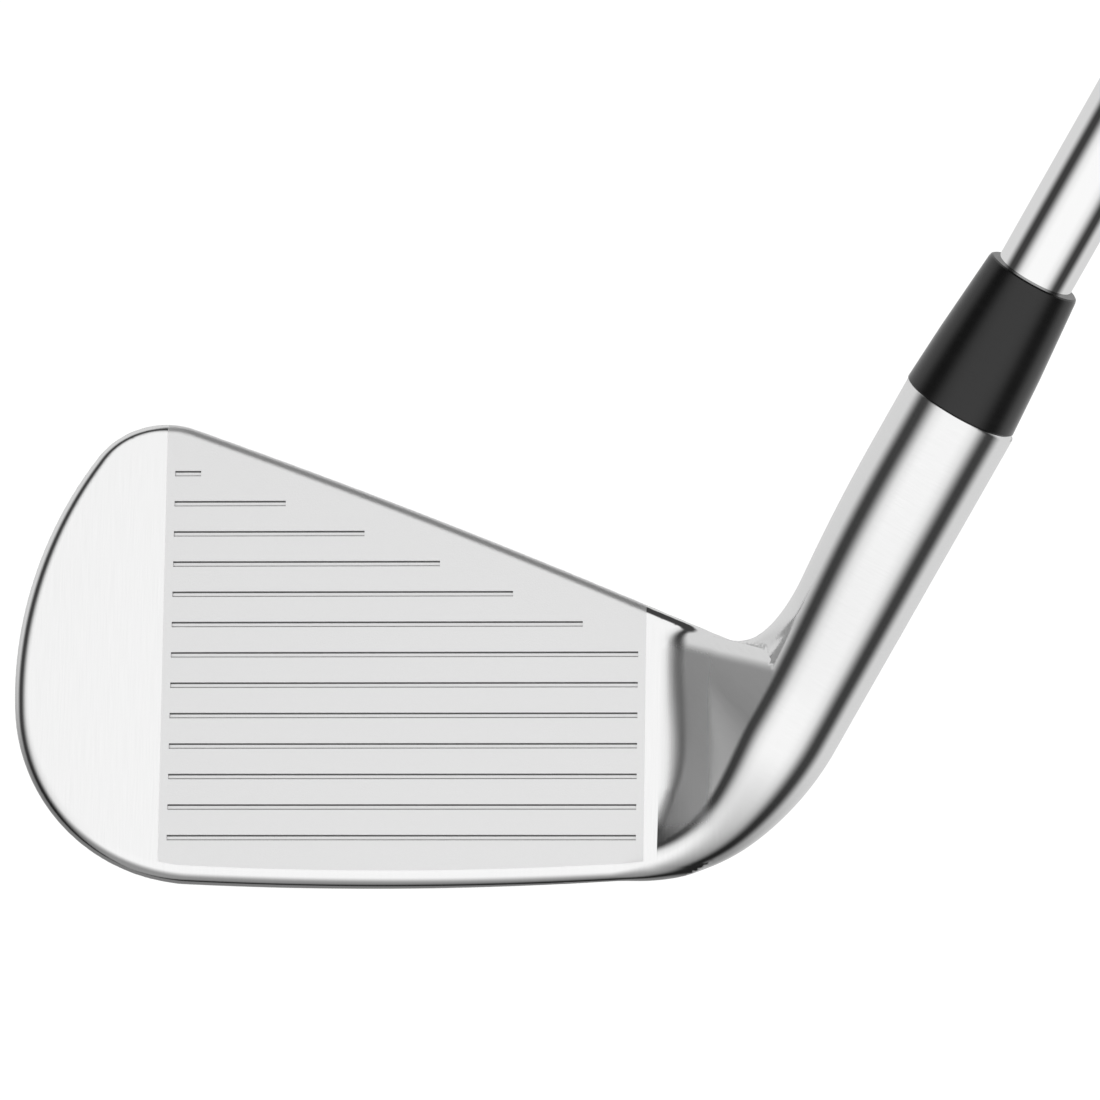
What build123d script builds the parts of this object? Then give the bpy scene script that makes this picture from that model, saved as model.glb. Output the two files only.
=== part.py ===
"""Right-handed iron golf club in its address position.

Frame: millimetres, +Z up, +X from toe to heel, +Y behind the striking face.
The origin is the point where the sole touches the ground.
Two construction frames carry the model: the striking face, whose sketches use
(u towards the heel, v up the face) with n out of the face, and the shaft line,
along which s is measured from near the ground.
"""
from build123d import *
import math
import os

# Club
loft_angle = 26.0                # face leans back from vertical, degrees
lie_angle = 60.5                 # shaft rises from the ground, degrees
face_origin = (37.0, -9.0, 2.3)  # face point straight below the shaft line
shaft_origin = (37.0, -4.7, 2.3)  # shaft line at s = 0

# Blade outline, seen square to the face: topline, toe and lower toe arcs
topline_slope = 21.7
topline_heel = (4.0, 28.2)
topline_length = 66.45
corner_radius, corner_turn = 9.9, 75.4
toe_radius, toe_turn = 45.2, 39.6
low_toe_radius, low_toe_turn = 21.8, 86.7
blade_heel_u = 6.0
blade_reach = 90.0
rim_radius = 1.1
rim_low_v = 3.0

# Blade section, square to the sole: (v, n) points round the leading and trailing edges
leading_radius = 1.75
leading_centre = (1.15, -1.75)
camber_radius = 33.0
camber_centre = (31.54, 5.37)
trailing_point = (7.65, -17.4)
trailing_top = (10.3, -16.6)
muscle_top = (20.5, -5.7)
blade_top = (60.0, -5.4)

# Sole rocker and heel curve, seen from the front
rocker_radius = 365.0
heel_radius = 28.0
heel_offset = 6.95
toe_x = -50.0
leading_mid_angle = 40.0
sole_mid_angle = 14.0

# Hosel, neck and shaft joint, positions along the shaft line
hosel_radius = 6.8
hosel_bottom = 4.6
hosel_top = 61.7
bore_radius = 4.7
bore_bottom = 30.0
neck_start_u = -4.0
neck_low, neck_high = 1.0, 28.5
neck_depth = 7.0
neck_s = (2.0, 27.0)
neck_half_width = 6.2

# Face plate and grooves
plate_inset = 1.8
plate_thickness = 2.2
plate_heel_u = -4.2
groove_count = 13
groove_pitch = 3.54
groove_first_v = 4.9
groove_width = 0.62
groove_depth = 0.45
groove_toe_u = -60.0
groove_heel_u = -6.6
short_groove_heel_u = (-13.0, -21.0, -29.4, -38.1, -47.2, -57.0)

# Back cavity: the window's inset from the outline, and the layers that fill it
window_inset = 6.0
window_low_v = 21.5
window_heel_u = -10.0
damper_thickness = 0.9
tape_thickness = 0.3
badge_thickness = 0.8
badge_gap = 0.3

# Weights
weight_length, weight_width = 18.0, 6.4
weight_depth = 9.0
weight_v = 9.5
toe_weight_u = -56.5
heel_weight_u = -19.5
weight_cover = 0.2

# Ferrule
ferrule_top = 78.7
ferrule_top_radius = 5.33

# Shaft: outer radii and stations
shaft_bottom = 31.0
shaft_top = 962.0
tip_radius = 4.5
first_step_radius = 4.7
butt_radius = 7.6
first_step = 250.0
step_length = 24.0
step_count = 15
tip_wall = 0.62
butt_wall = 0.42
tip_weight_length = 12.0

# Grip
band_start, band_end = 640.0, 678.0
band_thickness = 0.15
grip_start = 695.0
grip_mouth_radius = 9.7
grip_butt_radius = 12.7
grip_lip = 2.0
tape_start = 700.0
grip_tape_thickness = 0.25
cap_start = 962.0
cap_end = 966.0
cap_radius = 15.2
cap_edge_round = 1.4
vent_radius = 1.6

# Reach of cutting and trimming shapes, well past the head
far = 100.0
cut_depth = 30.0

os.makedirs("parts", exist_ok=True)

# Construction frames
sin_loft = math.sin(math.radians(loft_angle))
cos_loft = math.cos(math.radians(loft_angle))
sin_lie = math.sin(math.radians(lie_angle))
cos_lie = math.cos(math.radians(lie_angle))
face_frame = Plane(origin=face_origin, x_dir=(1, 0, 0), z_dir=(0, -cos_loft, sin_loft))
section_frame = Plane(origin=face_origin, x_dir=face_frame.y_dir, z_dir=(1, 0, 0))
shaft_dir = Vector(cos_lie, 0, sin_lie)
heel_dir = Vector(sin_lie, 0, -cos_lie)
shaft_frame = Plane(origin=shaft_origin, x_dir=heel_dir, z_dir=shaft_dir)
turning_frame = Plane(origin=shaft_origin, x_dir=shaft_dir, z_dir=(0, 1, 0))
shaft_line = Axis(shaft_origin, shaft_dir)


def across_shaft(s):
    """Plane square to the shaft line at the station s."""
    return shaft_frame.offset(s)


def blade_outline():
    """Outline of the blade on the face, from the neck round the toe to the sole."""
    slope = math.radians(180 - topline_slope)
    with BuildSketch() as outline:
        with BuildLine():
            top = PolarLine(topline_heel, topline_length, angle=180 - topline_slope)
            corner = JernArc(top @ 1, (math.cos(slope), math.sin(slope)), corner_radius, corner_turn)
            toe = JernArc(corner @ 1, corner % 1, toe_radius, toe_turn)
            low = JernArc(toe @ 1, toe % 1, low_toe_radius, low_toe_turn)
            bottom_v = (low @ 1).Y
            Polyline(low @ 1, (blade_heel_u, bottom_v), topline_heel)
        make_face()
    return outline.sketch


def inset_outline(inset, low_v, heel_u):
    """The blade outline drawn in by an inset and cut off at the heel and below."""
    with BuildSketch() as inner:
        add(blade_outline())
        offset(amount=-inset, kind=Kind.INTERSECTION)
        with BuildLine():
            Polyline((heel_u, low_v), (heel_u, far), (-far, far), (-far, low_v), (heel_u, low_v))
        make_face(mode=Mode.INTERSECT)
    return inner.sketch


def weight_pocket(centre_u):
    """Slot-shaped outline of a weight on the face."""
    with BuildSketch() as slot:
        with Locations((centre_u, weight_v)):
            SlotOverall(weight_length, weight_width)
    return slot.sketch


# Head body: blade section run along the face, trimmed to the outline, then neck and hosel
arc_angle = math.atan2(leading_centre[1] - camber_centre[1], leading_centre[0] - camber_centre[0])
leading_join = (
    camber_centre[0] + camber_radius * math.cos(arc_angle),
    camber_centre[1] + camber_radius * math.sin(arc_angle),
)
leading_mid = (
    leading_centre[0] - leading_radius * math.cos(math.radians(leading_mid_angle)),
    leading_centre[1] + leading_radius * math.sin(math.radians(leading_mid_angle)),
)
sole_turn = arc_angle + math.radians(sole_mid_angle)
sole_mid = (
    camber_centre[0] + camber_radius * math.cos(sole_turn),
    camber_centre[1] + camber_radius * math.sin(sole_turn),
)

heel_start = Vector(*shaft_origin) + heel_dir * (heel_offset - heel_radius)
rocker_centre = Vector(0, 0, rocker_radius)
to_start = heel_start - rocker_centre
to_start = Vector(to_start.X, 0, to_start.Z)
along = to_start.dot(shaft_dir)
reach = rocker_radius - heel_radius
rise = -along - math.sqrt(along**2 - to_start.dot(to_start) + reach**2)
heel_centre = Vector(heel_start.X, 0, heel_start.Z) + shaft_dir * rise
rocker_dir = (heel_centre - rocker_centre).normalized()
heel_bottom = heel_centre + rocker_dir * heel_radius
heel_side = heel_centre + heel_dir * heel_radius
heel_mid = heel_centre + (rocker_dir + heel_dir).normalized() * heel_radius
toe_z = rocker_radius - math.sqrt(rocker_radius**2 - toe_x**2)
side_top = heel_side + shaft_dir * hosel_top

with BuildPart() as head_body:
    with BuildSketch(section_frame.offset(-blade_reach)):
        with BuildLine():
            Line((blade_top[0], 0), (leading_centre[0], 0))
            ThreePointArc((leading_centre[0], 0), leading_mid, leading_join)
            ThreePointArc(leading_join, sole_mid, trailing_point)
            Polyline(trailing_point, trailing_top, muscle_top, blade_top, (blade_top[0], 0))
        make_face()
    extrude(amount=blade_reach + blade_heel_u)
    with BuildSketch(face_frame):
        add(blade_outline())
    extrude(amount=-cut_depth, mode=Mode.INTERSECT)
    front = head_body.faces().sort_by(Axis(face_origin, face_frame.z_dir))[-1]
    rim = front.edges().filter_by(lambda edge: face_frame.to_local_coords(edge.center()).Y > rim_low_v)
    rim = rim.filter_by(lambda edge: face_frame.to_local_coords(edge.center()).X < blade_heel_u - 1)
    fillet(rim, radius=rim_radius)
    # Neck: a web between the heel end of the face and the shaft line
    with BuildSketch(section_frame.offset(neck_start_u)):
        with BuildLine():
            Polyline(
                (neck_low, -neck_depth),
                (neck_high, -neck_depth),
                (neck_high, 0),
                (neck_low, 0),
                close=True,
            )
        make_face()
    with BuildSketch(Plane(origin=shaft_origin, x_dir=shaft_dir, z_dir=heel_dir)):
        with BuildLine():
            Polyline(
                (neck_s[0], -neck_half_width),
                (neck_s[1], -neck_half_width),
                (neck_s[1], neck_half_width),
                (neck_s[0], neck_half_width),
                close=True,
            )
        make_face()
    loft(ruled=True)
    with BuildSketch(across_shaft(hosel_bottom)):
        Circle(hosel_radius)
    extrude(amount=hosel_top - hosel_bottom)
    # Everything is trimmed to the sole rocker and the heel curve
    with BuildSketch(Plane.XZ):
        with BuildLine():
            ThreePointArc((toe_x, toe_z), (0, 0), (heel_bottom.X, heel_bottom.Z))
            ThreePointArc(
                (heel_bottom.X, heel_bottom.Z),
                (heel_mid.X, heel_mid.Z),
                (heel_side.X, heel_side.Z),
            )
            Polyline(
                (heel_side.X, heel_side.Z),
                (side_top.X, side_top.Z),
                (side_top.X, far),
                (toe_x, far),
                (toe_x, toe_z),
            )
        make_face()
    extrude(amount=cut_depth, both=True, mode=Mode.INTERSECT)
    # Seat for the face plate, window in the back, weight pockets and shaft bore
    with BuildSketch(face_frame):
        add(inset_outline(plate_inset, -far, plate_heel_u))
    extrude(amount=-plate_thickness, mode=Mode.SUBTRACT)
    with BuildSketch(face_frame):
        add(inset_outline(window_inset, window_low_v, window_heel_u))
    extrude(amount=-cut_depth, mode=Mode.SUBTRACT)
    with BuildSketch(face_frame.offset(-plate_thickness)):
        add(weight_pocket(toe_weight_u))
        add(weight_pocket(heel_weight_u))
    extrude(amount=-weight_depth - weight_cover, mode=Mode.SUBTRACT)
    with BuildSketch(across_shaft(bore_bottom)):
        Circle(bore_radius)
    extrude(amount=hosel_top - bore_bottom, mode=Mode.SUBTRACT)
head_body.part.label = "head_body"
export_step(head_body.part, "parts/head_body.step")

# Face plate: fills its seat flush with the face; the grooves are milled in its front
with BuildPart() as face_plate:
    with BuildSketch(face_frame):
        add(inset_outline(plate_inset, -far, plate_heel_u))
    extrude(amount=-plate_thickness)
    with BuildSketch(face_frame):
        for index in range(groove_count):
            shortened = index - (groove_count - len(short_groove_heel_u))
            heel_end = groove_heel_u if shortened < 0 else short_groove_heel_u[shortened]
            length = heel_end - groove_toe_u
            with Locations((groove_toe_u + length / 2, groove_first_v + index * groove_pitch)):
                Rectangle(length, groove_width)
    extrude(amount=-groove_depth, mode=Mode.SUBTRACT)
face_plate.part.label = "face_plate"
export_step(face_plate.part, "parts/face_plate.step")

# Tungsten weights in the pockets behind the plate
for weight_name, weight_u in (("toe_weight", toe_weight_u), ("heel_weight", heel_weight_u)):
    with BuildPart() as weight:
        with BuildSketch(face_frame.offset(-plate_thickness - weight_cover)):
            add(weight_pocket(weight_u))
        extrude(amount=-weight_depth)
    weight.part.label = weight_name
    export_step(weight.part, f"parts/{weight_name}.step")

# Layers in the back cavity, each bonded to the one before: damper, tape, badge
with BuildPart() as damper:
    with BuildSketch(face_frame.offset(-plate_thickness)):
        add(inset_outline(window_inset + badge_gap, window_low_v + badge_gap, window_heel_u - badge_gap))
    extrude(amount=-damper_thickness)
damper.part.label = "damper"
export_step(damper.part, "parts/damper.step")

with BuildPart() as badge_tape:
    with BuildSketch(face_frame.offset(-plate_thickness - damper_thickness)):
        add(inset_outline(window_inset + badge_gap, window_low_v + badge_gap, window_heel_u - badge_gap))
    extrude(amount=-tape_thickness)
badge_tape.part.label = "badge_tape"
export_step(badge_tape.part, "parts/badge_tape.step")

with BuildPart() as back_badge:
    with BuildSketch(face_frame.offset(-plate_thickness - damper_thickness - tape_thickness)):
        add(inset_outline(window_inset + badge_gap, window_low_v + badge_gap, window_heel_u - badge_gap))
    extrude(amount=-badge_thickness)
back_badge.part.label = "back_badge"
export_step(back_badge.part, "parts/back_badge.step")

# Ferrule: a tapered collar on the shaft, seated on the hosel
with BuildPart() as ferrule:
    with BuildSketch(turning_frame):
        with BuildLine():
            Polyline(
                (hosel_top, tip_radius),
                (hosel_top, hosel_radius),
                (ferrule_top, ferrule_top_radius),
                (ferrule_top, tip_radius),
                close=True,
            )
        make_face()
    revolve(axis=shaft_line)
ferrule.part.label = "ferrule"
export_step(ferrule.part, "parts/ferrule.step")

# Epoxy: fills the gap between the shaft tip and the bore, and the bottom of the bore
with BuildPart() as hosel_epoxy:
    with BuildSketch(across_shaft(bore_bottom)):
        Circle(bore_radius)
    extrude(amount=hosel_top - bore_bottom)
    with BuildSketch(across_shaft(shaft_bottom)):
        Circle(tip_radius)
    extrude(amount=hosel_top - shaft_bottom, mode=Mode.SUBTRACT)
hosel_epoxy.part.label = "hosel_epoxy"
export_step(hosel_epoxy.part, "parts/hosel_epoxy.step")

# Balance plug in the tip of the shaft
with BuildPart() as tip_weight:
    with BuildSketch(across_shaft(shaft_bottom)):
        Circle(tip_radius - tip_wall)
    extrude(amount=tip_weight_length)
tip_weight.part.label = "tip_weight"
export_step(tip_weight.part, "parts/tip_weight.step")

# Shaft: a straight tip, then steps that widen it to the butt
step_rise = (butt_radius - first_step_radius) / step_count
outer = [(shaft_bottom, tip_radius), (ferrule_top, tip_radius), (first_step, first_step_radius)]
for index in range(step_count):
    station = first_step + (index + 1) * step_length
    radius = first_step_radius + index * step_rise
    outer.append((station, radius))
    outer.append((station + step_rise, radius + step_rise))
outer.append((shaft_top, butt_radius))
inner = [
    (shaft_top, butt_radius - butt_wall),
    (first_step + step_count * step_length, butt_radius - butt_wall),
    (first_step, first_step_radius - tip_wall),
    (shaft_bottom, tip_radius - tip_wall),
]
with BuildPart() as shaft:
    with BuildSketch(turning_frame):
        with BuildLine():
            Polyline(*outer, *inner, close=True)
        make_face()
    revolve(axis=shaft_line)
shaft.part.label = "shaft"
export_step(shaft.part, "parts/shaft.step")

# Band: thin sleeve on the shaft's butt section, just below the grip
with BuildPart() as shaft_band:
    with BuildSketch(across_shaft(band_start)):
        Circle(butt_radius + band_thickness)
        Circle(butt_radius, mode=Mode.SUBTRACT)
    extrude(amount=band_end - band_start)
shaft_band.part.label = "shaft_band"
export_step(shaft_band.part, "parts/shaft_band.step")

# Grip tape between the shaft and the grip
with BuildPart() as grip_tape:
    with BuildSketch(across_shaft(tape_start)):
        Circle(butt_radius + grip_tape_thickness)
        Circle(butt_radius, mode=Mode.SUBTRACT)
    extrude(amount=cap_start - tape_start)
grip_tape.part.label = "grip_tape"
export_step(grip_tape.part, "parts/grip_tape.step")

# Grip: tapered rubber sleeve with a small rounded lip at its mouth
grip_core = butt_radius + grip_tape_thickness
with BuildPart() as grip:
    with BuildSketch(turning_frame):
        with BuildLine():
            Polyline(
                (tape_start, grip_core),
                (tape_start, butt_radius),
                (grip_start, butt_radius),
                (grip_start, grip_mouth_radius - grip_lip / 2),
                (grip_start + grip_lip / 2, grip_mouth_radius),
                (cap_start, grip_butt_radius),
                (cap_start, grip_core),
                close=True,
            )
        make_face()
    revolve(axis=shaft_line)
grip.part.label = "grip"
export_step(grip.part, "parts/grip.step")

# Grip cap: a flange over the butt with a vent hole down its middle
with BuildPart() as grip_cap:
    with BuildSketch(across_shaft(cap_start)):
        Circle(cap_radius)
    extrude(amount=cap_end - cap_start)
    fillet(grip_cap.edges().filter_by(GeomType.CIRCLE), radius=cap_edge_round)
    with BuildSketch(across_shaft(cap_start)):
        Circle(vent_radius)
    extrude(amount=cap_end - cap_start, mode=Mode.SUBTRACT)
grip_cap.part.label = "grip_cap"
export_step(grip_cap.part, "parts/grip_cap.step")
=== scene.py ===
"""Iron golf club at address: forged head, ferrule, stepped shaft and rubber grip.

Lengths are worked out in millimetres, as on a club maker's drawing, and meshes
are written in metres. +X runs from toe to heel, +Y lies behind the face, +Z is up.
"""
import bmesh
import bpy
import math
import numpy as np
from mathutils import Matrix, Vector


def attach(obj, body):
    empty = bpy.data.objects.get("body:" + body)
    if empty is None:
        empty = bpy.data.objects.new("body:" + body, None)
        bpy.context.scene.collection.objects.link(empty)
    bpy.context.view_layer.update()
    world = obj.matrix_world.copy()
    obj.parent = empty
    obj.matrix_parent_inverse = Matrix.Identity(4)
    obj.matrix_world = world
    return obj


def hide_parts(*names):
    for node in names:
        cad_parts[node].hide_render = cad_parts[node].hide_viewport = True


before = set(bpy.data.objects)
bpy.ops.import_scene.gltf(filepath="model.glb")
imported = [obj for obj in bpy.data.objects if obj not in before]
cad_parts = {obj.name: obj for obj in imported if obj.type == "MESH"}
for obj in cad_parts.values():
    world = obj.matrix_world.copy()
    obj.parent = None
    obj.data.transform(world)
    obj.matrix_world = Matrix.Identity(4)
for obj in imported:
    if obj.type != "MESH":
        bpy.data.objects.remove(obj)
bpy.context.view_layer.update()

# ---------------------------------------------------------------- Head body
# One forging of mild steel: blade, cambered sole, neck and hosel. The face side is
# ground flat, the neck is blended by hand, and all of it is polished and brushed.
# It is bored for the shaft, and has a seat in front and a window behind.
MM = 0.001
LOFT = math.radians(26.0)
LIE = math.radians(60.5)
FACE_ORIGIN = np.array([37.0, -9.0, 2.3])
SHAFT_ORIGIN = np.array([37.0, -4.7, 2.3])
FACE_UP = np.array([0.0, math.sin(LOFT), math.cos(LOFT)])
FACE_OUT = np.array([0.0, -math.cos(LOFT), math.sin(LOFT)])
SHAFT_DIR = np.array([math.cos(LIE), 0.0, math.sin(LIE)])
HEEL_DIR = np.array([math.sin(LIE), 0.0, -math.cos(LIE)])

TOPLINE = ((-5.2, 31.85), 156.81, (4.0,), (940.0, 3.21))
TOE_ARCS = ((9.9, 73.7), (45.2, 39.6), (21.4, 83.8), (450.0, 9.0))
HEEL_START = ((-45.0, -2.69), 3.0, 40.0)
HEEL_ARCS = ((21.9, 34.7), (33.9, 22.8))
HEEL_MIDDLE = (-22.0, 38.0)
HOSEL_LINE = 80.0
HOSEL_RADIUS = 6.8
HOSEL_TOP = 61.7
BORE_RADIUS = 4.7
BORE_BOTTOM = 30.0
LEADING_RADIUS = 1.75
LEADING_SETBACK = -6.92 - SHAFT_ORIGIN[1]
CAMBER_RADIUS = 33.0
CAMBER_CENTRE = (31.54, 5.37)
ROCKER_RADIUS = 430.0
BLADE_THICKNESS = 5.5
MUSCLE_POINT = (10.3, -16.6)
MUSCLE_SLOPE = (0.685, 0.729)
MUSCLE_BLEND = 5.0
TOE_DRAFT = 0.34
BACK_RIM = 1.0
HEEL_CUT = (-3.5, -2.0)
HEEL_CUT_TURN = math.radians(52.0)
HEEL_LINE_U = -4.1
TUBE_END_U = -14.0
TUBE_SINK = 1.5
NECK_SHARE = 0.85
NECK_GROWTH = (math.radians(17.0), math.radians(56.0))
HOSEL_GROWTH = (math.radians(58.0), math.radians(106.0))
SETBACK_ENDS = (math.radians(10.0), math.radians(66.0))
FLANK_TILT = math.radians(48.0)
FLANK_INSET = 0.6
FLANK_DEPTH = 3.0
FLANK_EDGE = 3.0
FAN_REACH = (0.6, 3.2)
CLOSE_BLEND = 0.6
PLATE_THICKNESS = 2.2
WINDOW_INSET = 6.0
WINDOW_LOW_V = 21.5
WINDOW_HEEL_U = -10.0
WINDOW_CORNER = 3.0
WINDOW_FLARE = 0.25
WINDOW_RIM = 0.6


def tangent_chain(start, heading, pieces):
    """Segments of a line or arc chain, each tangent to the last, and its end."""
    x, y = start
    turn = math.radians(heading)
    chain = []
    for piece in pieces:
        if len(piece) == 1:
            chain.append(("line", x, y, turn, piece[0]))
            x += piece[0] * math.cos(turn)
            y += piece[0] * math.sin(turn)
        else:
            radius, angle = piece[0], math.radians(piece[1])
            centre_x = x - radius * math.sin(turn)
            centre_y = y + radius * math.cos(turn)
            chain.append(("arc", centre_x, centre_y, radius, turn, angle))
            turn += angle
            x = centre_x + radius * math.sin(turn)
            y = centre_y - radius * math.cos(turn)
    return chain


def chain_field(chain, x, y):
    """Distance to a chain, negative on its left, with the outward normal's rise."""
    distance = np.full(np.shape(x), 1e9)
    field = np.zeros(np.shape(x))
    rise = np.zeros(np.shape(x))
    last = len(chain) - 1
    for index, piece in enumerate(chain):
        if piece[0] == "line":
            _, start_x, start_y, turn, length = piece
            along = (x - start_x) * math.cos(turn) + (y - start_y) * math.sin(turn)
            side = (x - start_x) * math.sin(turn) - (y - start_y) * math.cos(turn)
            low = -1e6 if index == 0 else 0.0
            high = 1e6 if index == last else length
            beyond = along - np.clip(along, low, high)
            here = np.hypot(side, beyond)
            signed = np.where(side < 0, -here, here)
            tilt = np.full(np.shape(x), -math.cos(turn))
        else:
            _, centre_x, centre_y, radius, turn, angle = piece
            from_x, from_y = x - centre_x, y - centre_y
            middle = turn + angle / 2
            bearing = (np.arctan2(from_x, -from_y) - middle + math.pi) % (2 * math.pi) - math.pi
            reach = angle / 2
            nearest = middle + np.clip(bearing, -reach, reach)
            end_x = centre_x + radius * np.sin(nearest)
            end_y = centre_y - radius * np.cos(nearest)
            here = np.hypot(x - end_x, y - end_y)
            side = (x - end_x) * np.sin(nearest) - (y - end_y) * np.cos(nearest)
            signed = np.where(side < 0, -here, here)
            tilt = -np.cos(nearest)
        closer = here < distance
        distance = np.where(closer, here, distance)
        field = np.where(closer, signed, field)
        rise = np.where(closer, tilt, rise)
    return field, rise


def ease(value, low, high):
    """Smooth step from 0 at low to 1 at high."""
    t = np.clip((value - low) / (high - low), 0.0, 1.0)
    return t * t * (3 - 2 * t)


def merge(a, b, reach):
    """Union of two fields with a smooth fillet that starts at the given reach."""
    near = np.maximum(reach - np.abs(a - b), 0.0) / reach
    return np.minimum(a, b) - near * near * reach / 4


def edge(a, b, radius):
    """Common part of two fields with a round edge of the given radius."""
    outside = np.hypot(np.maximum(a + radius, 0.0), np.maximum(b + radius, 0.0))
    return np.minimum(np.maximum(a, b), -radius) + outside


blade_chain = tangent_chain(TOPLINE[0], TOPLINE[1], TOPLINE[2:] + TOE_ARCS)
heel_chain = tangent_chain(HEEL_START[0], HEEL_START[1], ((HEEL_START[2],),) + HEEL_ARCS + ((HOSEL_LINE,),))


def hosel_field(x, y, z):
    """Hosel tube, which narrows and bends round the heel into the leading edge.

    The second field is the tube with its toe flank ground flat down to the face.
    """
    around, _ = chain_field(heel_chain, x, z)
    bearing = np.arctan2(x - HEEL_MIDDLE[0], HEEL_MIDDLE[1] - z)
    grown = NECK_SHARE * ease(bearing, *NECK_GROWTH) + (1 - NECK_SHARE) * ease(bearing, *HOSEL_GROWTH)
    radius = LEADING_RADIUS + (HOSEL_RADIUS - LEADING_RADIUS) * grown
    middle_y = LEADING_SETBACK * (1 - ease(bearing, *SETBACK_ENDS))
    sunk = TUBE_SINK * (1 - ease(x, TUBE_END_U, TUBE_END_U + 9.0))
    left, front = -around - radius, middle_y - y
    tube = np.hypot(left, front) - radius
    flat = left * math.sin(FLANK_TILT) + front * math.cos(FLANK_TILT) - radius
    past = (left > 0) & (left * math.cos(FLANK_TILT) > front * math.sin(FLANK_TILT))
    flank = np.where(past, flat, tube)
    return np.maximum(tube + sunk, TUBE_END_U - x), np.maximum(flank + sunk, TUBE_END_U - x)


def head_field(points):
    """Signed distance, roughly, to the skin of the head, for points in millimetres."""
    x = points[:, 0] - SHAFT_ORIGIN[0]
    y = points[:, 1] - SHAFT_ORIGIN[1]
    z = points[:, 2] - SHAFT_ORIGIN[2]
    from_face = points - FACE_ORIGIN
    v = from_face @ FACE_UP
    n = from_face @ FACE_OUT
    tube, flank = hosel_field(x, y, z)
    outline, rise = chain_field(blade_chain, x, v)
    outline = outline + TOE_DRAFT * np.maximum(-n - 2.0, 0.0) * ease(-rise, 0.1, 0.9)

    rocker = (x + FACE_ORIGIN[0]) ** 2 / (2 * ROCKER_RADIUS)
    camber_v = CAMBER_CENTRE[0] + rocker * math.cos(LOFT)
    camber_n = CAMBER_CENTRE[1] + rocker * math.sin(LOFT)
    sole = np.hypot(v - camber_v, n - camber_n) - CAMBER_RADIUS
    muscle = -MUSCLE_SLOPE[1] * (v - MUSCLE_POINT[0]) + MUSCLE_SLOPE[0] * (n - MUSCLE_POINT[1])
    back = merge(-n - BLADE_THICKNESS, -muscle, MUSCLE_BLEND)
    heel_cut = (x - HEEL_CUT[0]) * math.sin(HEEL_CUT_TURN) - (z - HEEL_CUT[1]) * math.cos(HEEL_CUT_TURN)
    heel, _ = chain_field(heel_chain, x, z)
    near_face = ease(n, -9.0, -3.5)
    heel_cut += (heel + np.clip(0.6 * z - 0.65, -0.9, 6.0) + 0.9 * ease(x, -7.0, 4.0) - heel_cut) * near_face
    under = edge(edge(back, sole, 2.0), heel_cut, 4.0 - 3.2 * near_face)

    rim = LEADING_RADIUS - 0.55 * ease(rise, 0.2, 0.9)
    blade = edge(edge(n, outline, rim), back, BACK_RIM)
    blade = np.maximum(blade, under)

    # The window in the back flares outwards and has round corners
    window = edge(outline + WINDOW_INSET, WINDOW_LOW_V - v, WINDOW_CORNER)
    window = edge(window, x - WINDOW_HEEL_U, WINDOW_CORNER) + WINDOW_FLARE * (n + PLATE_THICKNESS)
    window = np.maximum(window, n + PLATE_THICKNESS - 1.0)
    blade = edge(blade, -window, WINDOW_RIM)

    # The face fans into the flank from one upright line; crotch and back have their own blends
    start_y = v * FACE_UP[1] + FACE_ORIGIN[1] - SHAFT_ORIGIN[1]
    start_x = np.full(len(points), HEEL_LINE_U)
    fan = np.clip(hosel_field(start_x, start_y, v * FACE_UP[2])[1], *FAN_REACH)
    ahead = CLOSE_BLEND + 13.4 * ease(v, 20.0, 28.0)
    crotch = CLOSE_BLEND + 4.6 * ease(v, 12.0, 24.0)
    behind = CLOSE_BLEND + 6.4 * ease(v, 3.0, 14.0)
    sides = np.stack([n, outline, -n - BLADE_THICKNESS])
    share = np.exp(np.clip(sides, -30.0, 30.0) - np.clip(sides, -30.0, 30.0).max(axis=0))
    share /= share.sum(axis=0)
    flank = edge(flank, np.maximum(outline + FLANK_INSET, -n - FLANK_DEPTH), FLANK_EDGE)
    skin = merge(blade, tube, share[0] * ahead + share[1] * crotch + share[2] * behind)
    skin = np.minimum(skin, merge(blade, flank, share[0] * fan + 0.1))
    up_shaft = x * SHAFT_DIR[0] + z * SHAFT_DIR[2]
    return np.maximum(skin, up_shaft - HOSEL_TOP - 4.0)


def field_slope(field, points, reach=0.02):
    """Gradient of a field by central differences."""
    slope = np.empty_like(points)
    for axis in range(3):
        shift = np.zeros(3)
        shift[axis] = reach
        slope[:, axis] = (field(points + shift) - field(points - shift)) / (2 * reach)
    return slope


def drawn_to_skin(field, points, rounds=3):
    """Points moved along the gradient until they lie on the field's zero surface."""
    for _ in range(rounds):
        slope = field_slope(field, points)
        size = np.maximum((slope * slope).sum(axis=1), 0.05)
        points = points - slope * (np.clip(field(points), -0.5, 0.5) / size)[:, None]
    return points


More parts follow.
